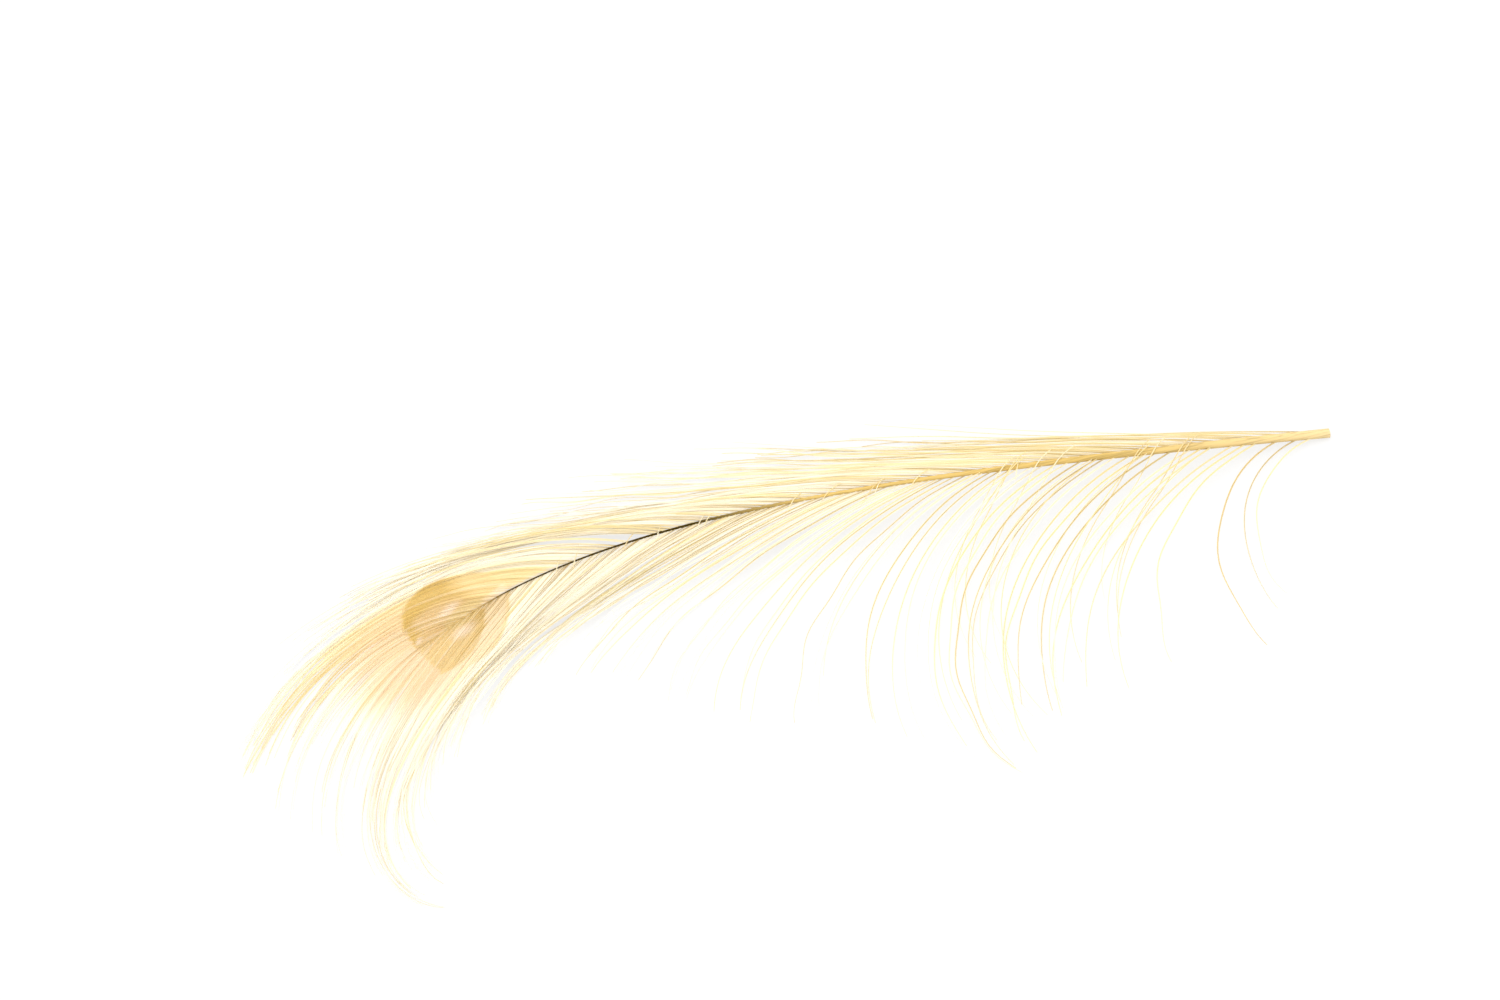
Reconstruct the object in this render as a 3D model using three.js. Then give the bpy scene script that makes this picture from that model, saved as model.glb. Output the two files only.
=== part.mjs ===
// A bleached peacock feather, cut short below its eye and lying face up on a flat surface.
//
// Millimetres, +Z up. +X runs from the eye to the cut end of the shaft, and the origin is the middle of the
// feather's underside. Left and right are as seen from the cut end towards the eye.
//
// Every barb starts at a place on the shaft, given from 0 at the cut end to 1 at the tip, and follows a
// path that turns smoothly from one angle to the shaft to another. Barbs cling together in locks: near the
// shaft the locks join in one thin sheet, and further out they part and taper to points.

import * as THREE from "three";

// Shaft: the tip is at X = Y = 0 until the whole feather is centred.
const CUT_END = new THREE.Vector3(250.7, 0, 1.3);
const ARCH_HANDLE = new THREE.Vector3(130, 9, 18);
const HOOK_HANDLE = new THREE.Vector3(49, 26, 5);
const SHAFT_TIP = new THREE.Vector3(0, 0, 2.5);
const CUT_WIDTH = 2.6;
const TIP_WIDTH = 0.35;
const TAPER = 1.6; // 1 would narrow the shaft evenly, more narrows it sooner
const SHAFT_SIDES = 10;
const SHAFT_STEPS = 40;

// Vanes
const SHAFT_GAP = 0.3; // clear space between the shaft and the roots of the barbs
const VANE_THICKNESS = 0.8; // along the middle of a lock, at its root
const EDGE_THINNING = 0.6; // a lock's thickness at its edges, as a share of that in its middle
const POINT_THINNING = 0.5; // a lock's thickness at its point, as a share of that at its root
const POINT_WIDTH = 0.1; // a lock's width at its point, as a share of that at its root
const LOCK_STEPS = 12; // steps from the root to the point of a lock
const WIDEST_PAIR = 0.05; // stretch of the shaft that two columns of points may span
const PATH_STEPS = 24; // steps in which a whole barb's path is followed
const LANDING = 0.7; // share of a barb's length after which it lies on the surface

// Places on the shaft between which the barbs gather into locks, far apart where a long stretch clings
// together.
const LEFT_PARTINGS = [
  0.02, 0.045, 0.07, 0.085, 0.1, 0.125, 0.15, 0.175, 0.2, 0.225, 0.25, 0.275, 0.3, 0.33, 0.36, 0.38, 0.41,
  0.44, 0.48, 0.52, 0.56, 0.61, 0.66, 0.72, 0.78, 0.86, 0.9, 0.935, 0.97, 1,
];
const RIGHT_PARTINGS = [
  0.02, 0.06, 0.11, 0.16, 0.22, 0.28, 0.34, 0.4, 0.46, 0.52, 0.58, 0.64, 0.7, 0.75, 0.8, 0.91, 0.945, 0.975,
  1,
];
const EYE_FROM = 0.83;
const LOOSE_SHEET_STEPS = 1; // steps for which loose locks stay joined
const EYE_SHEET_STEPS = 6; // the same for locks of the eye, which join in its disc
const SHEET_BLEND = 0.12; // stretch of the shaft below the eye over which the one becomes the other

// How much the free end of a lock departs from its neighbours.
const TURN_SPREAD = 0.5; // degrees
const LENGTH_SPREAD = 0.06; // share of the length
const LONGEST_BARB = 0.05; // how far a lock's longest barb, which is its point, goes past the others
const HIGHEST_LIFT = 3; // millimetres off the surface, at the point

// Barbs at chosen places on the shaft: their length in millimetres, their angles to the shaft in degrees at
// the root and at the point, and how late they turn from the one to the other: 1 is all along, 4 is near the
// point. Below the eye, left-hand barbs fall away from the shaft and curl back towards the cut end. The eye's
// fringe is swept to the left, so there right-hand barbs turn in across the feather's line, and left-hand
// ones turn out.
const LEFT_BARBS = [
  { at: 0.0, length: 50, root: 14, point: 126, late: 1 },
  { at: 0.03, length: 56, root: 16, point: 124, late: 0.95 },
  { at: 0.06, length: 70, root: 18, point: 118, late: 0.85 },
  { at: 0.1, length: 80, root: 24, point: 76, late: 1.4 },
  { at: 0.2, length: 94, root: 25, point: 102, late: 1.4 },
  { at: 0.28, length: 102, root: 23, point: 124, late: 1.3 },
  { at: 0.36, length: 86, root: 24, point: 106, late: 1.2 },
  { at: 0.42, length: 88, root: 19, point: 74, late: 1.6 },
  { at: 0.5, length: 88, root: 15, point: 60, late: 2.2 },
  { at: 0.6, length: 84, root: 14.5, point: 46, late: 3 },
  { at: 0.72, length: 90, root: 20.5, point: 68, late: 3 },
  { at: 0.84, length: 112, root: 30, point: 146, late: 4 },
  { at: 0.9, length: 98, root: 26, point: 120, late: 3.2 },
  { at: 0.95, length: 82, root: 20.5, point: 90, late: 2.5 },
  { at: 1.0, length: 60, root: 0, point: 52, late: 1.2 },
];
const RIGHT_BARBS = [
  { at: 0.0, length: 104, root: 11, point: 9, late: 1 },
  { at: 0.2, length: 108, root: 13, point: 8, late: 1 },
  { at: 0.4, length: 106, root: 13, point: 4, late: 1 },
  { at: 0.5, length: 102, root: 12.5, point: -2, late: 1 },
  { at: 0.6, length: 100, root: 14, point: -8, late: 1.1 },
  { at: 0.72, length: 98, root: 19, point: -24, late: 1.2 },
  { at: 0.84, length: 98, root: 26, point: -42, late: 1 },
  { at: 0.9, length: 90, root: 27, point: -52, late: 1 },
  { at: 0.95, length: 78, root: 24, point: -56, late: 1 },
  { at: 1.0, length: 62, root: 0, point: -54, late: 1.2 },
];

const HORN = { color: 0xe3c786, roughness: 0.45, metalness: 0 };
const CREAM = { color: 0xf6e9c8, roughness: 0.8, metalness: 0 };

const { lerp, smoothstep, degToRad } = THREE.MathUtils;
const shaftLine = new THREE.CubicBezierCurve3(CUT_END, ARCH_HANDLE, HOOK_HANDLE, SHAFT_TIP);

const shaftWidth = (place) => lerp(TIP_WIDTH, CUT_WIDTH, (1 - place) ** TAPER);

// The shaft's place, its direction over the surface and the direction to its left.
function shaftFrame(place) {
  const ahead = shaftLine.getTangentAt(place).setZ(0).normalize();
  const left = new THREE.Vector3(-ahead.y, ahead.x, 0);
  return { middle: shaftLine.getPointAt(place), ahead, left };
}

// A number from -1 to 1 that looks random, and is always the same for the same lock and use.
function scatter(lock, use) {
  const wave = Math.sin(lock * 12.9898 + use * 78.233) * 43758.5453;
  return 2 * (wave - Math.floor(wave)) - 1;
}

// A round bar bent onto the shaft's line and tapered to its tip.
function makeShaft() {
  const geometry = new THREE.CylinderGeometry(0.5, 0.5, 1, SHAFT_SIDES, SHAFT_STEPS);
  const points = geometry.getAttribute("position");
  const up = new THREE.Vector3(0, 0, 1);
  for (let i = 0; i < points.count; i++) {
    const place = THREE.MathUtils.clamp(points.getY(i) + 0.5, 0, 1);
    const { middle, left } = shaftFrame(place);
    const width = shaftWidth(place);
    middle.addScaledVector(left, -points.getX(i) * width).addScaledVector(up, points.getZ(i) * width);
    points.setXYZ(i, middle.x, middle.y, middle.z);
  }
  return geometry;
}

// The barb at a place on the shaft, between the two nearest chosen ones.
function barbAt(barbs, place) {
  const next = Math.max(1, barbs.findIndex((barb) => barb.at >= place));
  const [low, high] = [barbs[next - 1], barbs[next]];
  const share = (place - low.at) / (high.at - low.at);
  const mix = (field) => lerp(low[field], high[field], share);
  return { length: mix("length"), root: mix("root"), point: mix("point"), late: mix("late") };
}

// A barb's angle to the shaft, some way along it.
const barbAngle = (barb, along) => lerp(barb.root, barb.point, along ** barb.late);

// The underside of a barb some way along it. Past the place where its lock parts from the next one, it has
// the lock's own turn, length and lift.
function barbPoint(vane, place, along, lock, parting) {
  const barb = barbAt(vane.barbs, place);
  const { middle, ahead, left } = shaftFrame(place);
  const out = left.multiplyScalar(vane.side);
  const point = middle.clone().addScaledVector(out, shaftWidth(place) / 2 + SHAFT_GAP);
  const freed = (share) => smoothstep(share, parting, 1);
  const reach = along * (1 + lock.stretch * freed(along));
  const steps = Math.max(1, Math.round(along * PATH_STEPS));
  const stride = (reach / steps) * barb.length;
  for (let i = 0; i < steps; i++) {
    const here = ((i + 0.5) / steps) * reach;
    const angle = degToRad(barbAngle(barb, here) + lock.turn * freed(here));
    point.addScaledVector(ahead, Math.cos(angle) * stride).addScaledVector(out, Math.sin(angle) * stride);
  }
  const droop = 1 - smoothstep(along, 0, LANDING);
  point.z = (middle.z - VANE_THICKNESS / 2) * droop + lock.lift * freed(along) ** 2;
  return point;
}

// How many steps two neighbouring locks stay joined for.
function joinedSteps(place) {
  const share = smoothstep(place, EYE_FROM - SHEET_BLEND, EYE_FROM);
  return Math.round(lerp(LOOSE_SHEET_STEPS, EYE_SHEET_STEPS, share));
}

// One vane as a closed sheet whose outer part is cut into locks. A lock has columns of points from edge to
// edge, and is thickest along the middle one. Neighbours share a column of points up to where they part.
function makeVane(vane) {
  const bounds = vane.partings;
  const joined = bounds.map(joinedSteps);
  const lockCount = bounds.length - 1;
  const positions = [];
  const faces = [];
  const made = new Map();

  // The number of the lower one of two points, the upper of which comes next.
  function pointPair(key, place, row, lock, parting, thickness) {
    if (!made.has(key)) {
      const along = row / LOCK_STEPS;
      const low = barbPoint(vane, place, along, lock, parting / LOCK_STEPS);
      made.set(key, positions.length / 3);
      positions.push(low.x, low.y, low.z, low.x, low.y, low.z + thickness * lerp(1, POINT_THINNING, along));
    }
    return made.get(key);
  }

  function quad(a, b, c, d) {
    if (vane.side < 0) faces.push(a, b, c, a, c, d);
    else faces.push(a, c, b, a, d, c);
  }

  for (let k = 0; k < lockCount; k++) {
    const [start, end] = [bounds[k], bounds[k + 1]];
    const lift = Math.max(0, scatter(k, 3 + vane.side)) * HIGHEST_LIFT;
    const lock = {
      turn: scatter(k, 1 + vane.side) * TURN_SPREAD,
      stretch: LONGEST_BARB + scatter(k, 2 + vane.side) * LENGTH_SPREAD,
      lift: end < EYE_FROM ? lift : 0,
    };
    const columns = 2 * Math.ceil((end - start) / WIDEST_PAIR);
    const rows = [];
    for (let row = 0; row <= LOCK_STEPS; row++) {
      rows.push([]);
      for (let column = 0; column <= columns; column++) {
        const share = column / columns;
        const parting = lerp(joined[k], joined[k + 1], share);
        const parted = Math.max(0, (row - parting) / (LOCK_STEPS - parting));
        const place = lerp(lerp(start, end, share), (start + end) / 2, parted * (1 - POINT_WIDTH));
        const isEdge = share === 0 || share === 1;
        const key = isEdge && row <= parting ? `bound ${k + share} ${row}` : `lock ${k} ${column} ${row}`;
        const thickness = VANE_THICKNESS * lerp(1, EDGE_THINNING, Math.abs(2 * share - 1));
        rows[row].push(pointPair(key, place, row, lock, parting, thickness));
      }
    }
    for (let row = 0; row < LOCK_STEPS; row++) {
      const [near, far] = [rows[row], rows[row + 1]];
      for (let column = 0; column < columns; column++) {
        const [a, b, c, d] = [near[column], near[column + 1], far[column + 1], far[column]];
        quad(a, b, c, d);
        quad(a + 1, d + 1, c + 1, b + 1);
      }
      if (k === 0 || row >= joined[k]) quad(near[0], far[0], far[0] + 1, near[0] + 1);
      if (k === lockCount - 1 || row >= joined[k + 1]) {
        quad(far[columns], near[columns], near[columns] + 1, far[columns] + 1);
      }
    }
    for (let column = 0; column < columns; column++) {
      const [a, b] = [rows[0][column], rows[0][column + 1]];
      const [c, d] = [rows[LOCK_STEPS][column], rows[LOCK_STEPS][column + 1]];
      quad(b, a, a + 1, b + 1);
      quad(c, d, d + 1, c + 1);
    }
  }
  const geometry = new THREE.BufferGeometry();
  geometry.setAttribute("position", new THREE.Float32BufferAttribute(positions, 3));
  geometry.setIndex(faces);
  geometry.computeVertexNormals();
  return geometry;
}

function addPiece(group, name, geometry, finish) {
  const mesh = new THREE.Mesh(geometry, new THREE.MeshStandardMaterial(finish));
  mesh.name = name;
  group.add(mesh);
}

const feather = new THREE.Group();
addPiece(feather, "shaft", makeShaft(), HORN);
const leftVane = { side: 1, barbs: LEFT_BARBS, partings: LEFT_PARTINGS };
const rightVane = { side: -1, barbs: RIGHT_BARBS, partings: RIGHT_PARTINGS };
addPiece(feather, "left_vane", makeVane(leftVane), CREAM);
addPiece(feather, "right_vane", makeVane(rightVane), CREAM);

const box = new THREE.Box3().setFromObject(feather);
const centre = box.getCenter(new THREE.Vector3());
feather.position.set(-centre.x, -centre.y, -box.min.z);

const part = new THREE.Group();
part.add(feather);

export default part;
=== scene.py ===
"""A bleached peacock feather: a horn quill, loose barbs and a tan eye, modelled barb by barb."""

import math

import bpy
import numpy as np
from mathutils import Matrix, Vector


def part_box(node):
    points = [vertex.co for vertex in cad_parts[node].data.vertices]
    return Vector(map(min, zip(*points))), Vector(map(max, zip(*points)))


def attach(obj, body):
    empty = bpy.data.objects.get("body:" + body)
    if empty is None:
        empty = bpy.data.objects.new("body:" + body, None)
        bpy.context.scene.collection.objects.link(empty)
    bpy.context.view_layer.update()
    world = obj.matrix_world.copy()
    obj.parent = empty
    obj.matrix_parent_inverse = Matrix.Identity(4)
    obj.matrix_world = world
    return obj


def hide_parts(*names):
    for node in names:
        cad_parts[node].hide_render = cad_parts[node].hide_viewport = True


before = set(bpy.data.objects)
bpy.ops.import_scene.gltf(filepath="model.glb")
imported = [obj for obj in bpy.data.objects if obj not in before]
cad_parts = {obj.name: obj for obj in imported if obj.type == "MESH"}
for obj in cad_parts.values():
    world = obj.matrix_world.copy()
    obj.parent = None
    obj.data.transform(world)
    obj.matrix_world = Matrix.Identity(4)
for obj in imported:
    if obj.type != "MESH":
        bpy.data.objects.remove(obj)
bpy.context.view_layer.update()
SHAFT_LOW, SHAFT_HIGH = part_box("shaft")

bl_info = {
    "name": "Peacock Feather",
    "version": (1, 0, 0),
    "blender": (4, 5, 0),
    "location": "3D View > Sidebar > Feather",
    "description": "Models a bleached peacock feather barb by barb",
    "category": "Add Mesh",
}

MM = 0.001
BODY = "root"

# The shaft's line in millimetres, a cubic curve from the cut end to the tip, which is at X = Y = 0 here.
SHAFT_POINTS = np.array([(250.7, 0, 1.3), (130, 9, 18), (49, 26, 5), (0, 0, 2.5)])
SHAFT_TABLE_POINTS = 2001
CUT_WIDTH = 2.6
TIP_WIDTH = 0.35
TAPER = 1.6  # 1 would narrow the shaft evenly, more narrows it sooner

# What moves those millimetres into the feather's frame.
TIP_X = (SHAFT_LOW.x + SHAFT_HIGH.x) / 2 / MM - SHAFT_POINTS[0, 0] / 2
TIP_Y = SHAFT_LOW.y / MM + CUT_WIDTH / 2
FEATHER_SHIFT = np.array([TIP_X, TIP_Y, 0])

# Places along the shaft, from 0 at the cut end to 1 at the tip, between which the barbs gather into locks.
LEFT_PARTINGS = (
    0.02, 0.045, 0.07, 0.085, 0.1, 0.125, 0.15, 0.175, 0.2, 0.225, 0.25, 0.275, 0.3, 0.33, 0.36, 0.38, 0.41,
    0.44, 0.48, 0.52, 0.56, 0.61, 0.66, 0.72, 0.78, 0.86, 0.9, 0.935, 0.97, 1,
)
RIGHT_PARTINGS = (
    0.02, 0.06, 0.11, 0.16, 0.22, 0.28, 0.34, 0.4, 0.46, 0.52, 0.58, 0.64, 0.7, 0.75, 0.8, 0.91, 0.945,
    0.975, 1,
)
EYE_FROM = 0.83
EYE_TO = 0.998
LEFT_SEED = 11
RIGHT_SEED = 23
RIGHT_BUNDLE = (0.8, 0.91)  # stretch on whose right the barbs keep close together
LOCK_STEPS = 12  # steps from the root to the point of a lock
LOOSE_SHEET_STEPS = 1  # steps for which loose locks stay joined
EYE_SHEET_STEPS = 6  # the same for locks of the eye
SHEET_BLEND = 0.12  # stretch of the shaft over which the one becomes the other
TURN_SPREAD = 0.5  # degrees
LENGTH_SPREAD = 0.06  # share of the length
LONGEST_BARB = 0.05  # how far a lock's longest barb goes past the others
HIGHEST_LIFT = 3  # millimetres off the surface, at the point
LANDING = 0.7  # share of a barb's length after which it lies on the surface
VANE_THICKNESS = 0.8
ROOT_SPREAD = 0.36  # how far from the shaft's middle barbs start, as a share of its width
PATH_STEPS = 24
TURN_USE, STRETCH_USE, LIFT_USE = 1, 2, 3  # what a scattered number of a lock is for
SCATTER_LOCK, SCATTER_USE, SCATTER_SCALE = 12.9898, 78.233, 43758.5453

# Barbs at chosen places: place, length in millimetres, angle to the shaft in degrees at the root and at the
# point, and how late the barb turns from the one to the other.
LEFT_BARBS = [
    (0.0, 50, 14, 126, 1),
    (0.03, 56, 16, 124, 0.95),
    (0.06, 70, 18, 118, 0.85),
    (0.1, 80, 24, 76, 1.4),
    (0.2, 94, 25, 102, 1.4),
    (0.28, 102, 23, 124, 1.3),
    (0.36, 86, 24, 106, 1.2),
    (0.42, 88, 19, 74, 1.6),
    (0.5, 88, 15, 60, 2.2),
    (0.6, 84, 14.5, 46, 3),
    (0.72, 90, 20.5, 68, 3),
    (0.84, 112, 30, 146, 4),
    (0.9, 98, 26, 120, 3.2),
    (0.95, 82, 20.5, 90, 2.5),
    (1.0, 60, 0, 52, 1.2),
]
RIGHT_BARBS = [
    (0.0, 104, 11, 9, 1),
    (0.2, 108, 13, 8, 1),
    (0.4, 106, 13, 4, 1),
    (0.5, 102, 12.5, -2, 1),
    (0.6, 100, 14, -8, 1.1),
    (0.72, 98, 19, -24, 1.2),
    (0.84, 98, 26, -42, 1),
    (0.9, 90, 27, -52, 1),
    (0.95, 78, 24, -56, 1),
    (1.0, 62, 0, -54, 1.2),
]

# How a barb departs from its lock: some barbs hardly cling to the lock's middle, and each has a wave of its
# own, whose length is in millimetres.
SHORTER_BARB = 0.05
FREE_SHARE = 0.2
FREE_CLING = 0.1
CLING = (0.35, 0.75)
BUNDLE_CLING = 0.3
WAVE_LENGTH = (22, 55)
WAVE_SHARE = (0.2, 1)
LAYERED_FROM = 0.2

# The mesh of a barb: its stem, the stretch of it with barbules, and where its points lie across its lane of
# the bake.
STEM_SIDES = 3
STEM_TOP = 0.25
STEM_TAPER = 0.6
BARBULE_RUN = (0.01, 0.995)
BARBULE_DROOP = 0.12
STEM_LANE = 0.4
STEM_LANE_STEP = 0.1
TIP_LANES = (0.95, 0.05)

# Loose barbs by place: spacing along the shaft in millimetres, and barbule length and stem thickness as
# shares of the longest barbule and of the stem in the eye.
LOOSE_PLACES = (0.0, 0.12, 0.3, 0.45, 0.7, 0.83)
LOOSE_SPACING = (6.5, 4.4, 3.0, 2.1, 1.2, 0.75)
LOOSE_BARBULES = (0.7, 0.85, 1, 1, 1, 1)
LOOSE_STEMS = (2.0, 2.2, 1.9, 1.5, 1.2, 1)
LOOSE_JITTER = (0.6, 1.4)
LOOSE_ALONG = (0, 0.02, 0.08, 0.6, 1)
LOOSE_PROFILE = (0.05, 0.3, 1, 0.8, 0.3)
LOOSE_GROWTH = {"turn_spread": 2.2, "wave_mm": 0.9, "layer_mm": 1.0, "steps": 44}
LOOSE_TEETH = 360
LOOSE_LEAN = math.radians(42)
GAP = (0.742, 0.776)  # stretch of the shaft with no barbs on its right

# Barbs of the eye: many of them are shorter than their lock.
EYE_SEED = 100  # added to the side's own
EYE_JITTER = 0.3
EYE_ALONG = (0, 0.015, 0.05, 0.4, 0.6, 1)
EYE_PROFILE = (0.05, 0.25, 1, 1, 0.4, 0.2)
BUNDLE_PROFILE = (0.05, 0.25, 1, 1, 0.5, 0.3)
BUNDLE_STEM = 0.5
EYE_GROWTH = {"turn_spread": 1.2, "wave_mm": 0.5, "layer_mm": 0.35, "steps": 52, "fray": 1.5}
EYE_TEETH = 260
EYE_LEAN = math.radians(40)
SHORT_SHARE = 0.7
SHORT_BY = (0.1, 0.5)
SHORT_LEAST = 0.8
SHORT_PLACES = (0.88, 0.96)

# Barbs that left their locks, short barbs that lie across the shaft, and long ones that start on its right
# and go to its left. Turns are in degrees, heights and distances across the shaft in millimetres.
STRAY_SEED = 5
STRAY_STEPS = 40
STRAYS = 16
STRAY_PLACES = (0.1, 0.8)
STRAY_LENGTH = 0.85
STRAY_TURN = {1: (-14, 10), -1: (3, 9)}
STRAY_ROOT_PART = 3
STRAY_ARCH = 0.8
EYE_STRAYS = 12
EYE_STRAY_PLACES = (0.68, 0.8)
EYE_STRAY_LENGTH = (0.85, 1.02)
EYE_STRAY_TURN = (2, 8)
EYE_STRAY_ROOT_PART = 2
CROSSINGS = 12
CROSSING_PLACES = (0.25, 0.84)
CROSSING_RUN = (0.01, 0.03)
CROSSING_START = (1.5, 3)
CROSSING_END = (2, 5)
CROSSING_BEND = 1.4
CROSSING_HEIGHT = 0.3
CROSSING_SPAN = 2
LONG_CROSSINGS = 10
LONG_PLACES = (0.14, 0.42)
LONG_TURN = (-8, 4)
LONG_ROOT_TURN = 8
LONG_LENGTH = (0.5, 0.95)
LONG_START = (2, 5.5)
LONG_SETTLED = 0.3
LONG_HEIGHT = 0.6
LONG_SPAN = 3
STRAY_ALONG = (0, 0.1, 0.8, 1)
STRAY_PROFILE = (0.3, 1, 0.8, 0.3)
STRAY_BARBULE = 0.5
STRAY_STEM = 1.3
STRAY_TEETH = 300
STRAY_TINTS = (0.3, 0.9)
STRAY_DARKEST = 0.2

# The quill: its mesh, the groove on its underside, and where its colours lie from the cut end to the tip.
QUILL_STEPS = 90
QUILL_SIDES = 14
GROOVE = 0.7
SMOOTH_ANGLE = math.radians(50)
HORN_PLACES = (0.0, 0.25, 0.56, 0.7, 0.905, 0.95)
HORN_STRETCH = (0.02, 1, 1)
HORN_GRAIN = 2500
HORN_GRAIN_RUN = (0.45, 0.75)
HORN_GRAIN_COVER = 0.35
HORN_ROUGHNESS = 0.5
HORN_SPECULAR = 0.06
PITH_GRAIN = 6000
PITH_ROUGHNESS = 0.9

# How golden the barbs are by place: 0 for cream, 0.6 for gold, 1 for straw.
GOLD_TINT = 0.6
LEFT_GOLD = ((0, 0.3, 0.45, 0.6, 0.75, 0.84, 0.9, 1), (0.62, 0.55, 0.4, 0.2, 0.1, 0.1, 0.05, 0.05))
RIGHT_GOLD = (
    (0, 0.3, 0.5, 0.7, 0.82, 0.85, 0.91, 0.95, 1),
    (0.7, 0.6, 0.3, 0.05, 0.05, 0.9, 1, 0.35, 0.1),
)

# The eye's markings in millimetres: first along the shaft, towards its tip, from the eye's middle, then
# across the shaft towards its left.
EYE_CENTRE = (5.85, 3.75)
EYE_HEADING = 205.6
EYE_LINE = 0.4
EDGE_FADE = 0.5
RAGGED = 0.8  # how far a barb's markings may be ahead of its neighbours'
HALO_MIDDLE = -4.6
HALO_SIZE = (15.2, 13.6)
HALO_SKEW = 0.25
HALO_SKEW_FROM = -2
HALO_LINE = 0.06
HALO_LINE_RUN = (-6, 0)
DEEP_RUN = (-12.5, -4.5)
LOBE_MIDDLE = 4.5
LOBE_SIZE = (14.5, 11.2)
LOBE_EDGE = (0.78, 1)
LOBE_EDGE_RUN = (-4, 6)
HEART_END = 10.4
CORE_MIDDLE = 3
CORE_SIZE = (12.5, 7.8)
CORE_RUN = (5.5, 9.5)
WEDGE_MIDDLE = (-5, 0.5)
WEDGE_SIZE = (6.4, 2.7)
# Painted sheen: pale ovals of painted highlight on the eye's glossy barbs, two beside the shaft and a small
# glint near the heart's tip.
PAINTED_SHEENS = (((-2.6, -3.1), (4.2, 1.6)), ((-1.8, 4.3), (4.4, 2.4)), ((8.6, -1.3), (1.4, 1.1)))
DISC_MIDDLE = 14
DISC_SIZE = (22, 17)

# Where each marking fades out, as shares of its oval, and how far it covers the colour under it.
SHARP_FADE = (0.96, 1.04)
CORE_FADE = (0.75, 1.1)
DISC_FADE = (0.5, 1.1)
WEDGE_FADE = (0.75, 1.05)
# The painted sheen highlights fade out from their middles.
PAINTED_SHEEN_FADE = (0, 1.2)
TIP_RUN = (0.35, 1)
TIP_COVER = 0.75
TIP_ON_GOLD = 0.9
DISC_COVER = 0.9
HALO_LINE_COVER = 0.75
CORE_COVER = 0.9
LOBE_EDGE_COVER = 0.3
# How far the painted sheen highlight covers the colour under it.
PAINTED_SHEEN_COVER = 0.95
WEDGE_COVER = 0.85

# Barbs differ by a jitter from -1 to 1: some are darker, some paler, and some have dark stems. Stems show
# less towards their ends, on golden barbs, in the disc, and most of all on its left, which is smooth.
DARK_JITTER = (0.2, 1)
DARK_COVER = 0.28
DARK_WHERE_SMOOTH = 0.6
PALE_JITTER = (-1, -0.2)
PALE_COVER = 0.45
STEM_WIDTH = (0, 0.14)
STEM_JITTER = (0.1, 0.6)
STEM_COVER = 0.2
DARK_STEM_COVER = 0.75
STEM_ALONG = 0.7
STEM_ON_GOLD = 0.6
STEM_IN_DISC = 0.3
STEM_WHERE_SMOOTH = 0.7
BARB_ROUGHNESS = 0.7
BARB_SPECULAR = 0.25
HALF_TANNED = 0.5
LIGHT_THROUGH = 0.35

# The stage, in metres, but for the point that the camera looks at, which is in the shaft's millimetres.
FLOOR_SIZE = 8
FLOOR_GRAIN = 3
FLOOR_SHADE = 0.985
FLOOR_ROUGHNESS = 0.9
WORLD_LIGHT = 1.45
LOOK_AT = (93, 21, 0)
LAMP_POWER = 14
LAMP_SIZE = 1.6
LAMP_OFFSET = (-0.4, 0.25, 1.5)
SENSOR_WIDTH = 36
WHITE = (1, 1, 1, 1)

# The curve between a display's colours and linear light.
SRGB_TOE, SRGB_SLOPE, SRGB_OFFSET, SRGB_POWER = 0.04045, 12.92, 0.055, 2.4


def srgb(red, green, blue):
    """A colour given as three numbers from 0 to 255, as Blender's linear colour."""
    channels = np.array([red, green, blue]) / 255
    low, high = channels / SRGB_SLOPE, ((channels + SRGB_OFFSET) / (1 + SRGB_OFFSET)) ** SRGB_POWER
    return tuple(float(c) for c in np.where(channels <= SRGB_TOE, low, high))


def colour_property(name, description, rgb):
    return bpy.props.FloatVectorProperty(
        name=name, description=description, subtype="COLOR", size=3, min=0, max=1, default=srgb(*rgb)
    )


def length_property(name, description, default_mm):
    return bpy.props.FloatProperty(
        name=name, description=description, default=default_mm * MM, min=0, precision=5,
        subtype="DISTANCE", unit="LENGTH",
    )


class QuillSettings(bpy.types.PropertyGroup):
    """Sizes and colours of the shaft."""

    cut_width: length_property("Cut width", "Width of the shaft where it was cut", CUT_WIDTH)
    tip_width: length_property("Tip width", "Width of the shaft at its tip", TIP_WIDTH)
    wall: length_property("Wall", "Horn round the pith at the cut", 0.3)
    honey: colour_property("Honey", "Shaft near the cut end", (214, 190, 140))
    golden: colour_property("Golden", "Shaft half way along", (196, 166, 98))
    dark: colour_property("Dark", "Shaft below the eye", (60, 46, 6))
    tan: colour_property("Tan", "Shaft inside the eye", (186, 156, 100))
    pith: colour_property("Pith", "Soft core of the shaft at the cut", (250, 240, 214))


class BarbSettings(bpy.types.PropertyGroup):
    """Sizes and colours of the barbs."""

    stem: length_property("Stem", "Thickness of a barb's stem at its root", 0.26)
    loose_barbule: length_property("Loose barbule", "Length of the barbules on a loose barb", 0.7)
    eye_barbule: length_property("Eye barbule", "Length of the barbules in the eye", 1.0)
    cream: colour_property("Cream", "Most of the barbs", (253, 250, 238))
    gold: colour_property("Gold", "Barbs that stayed yellow", (244, 230, 176))
    straw: colour_property("Straw", "The most golden barbs", (226, 203, 144))
    tip: colour_property("Tip", "Thin ends of the barbs", (255, 253, 246))
    glow: colour_property("Glow", "Light that comes through the barbs", (251, 242, 217))
    stem_colour: colour_property("Stem colour", "Stems of the barbs", (180, 152, 84))
    eye_barbs: bpy.props.IntProperty(
        name="Eye barbs", description="Barbs on each side of the eye", default=84, min=10
    )


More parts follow.
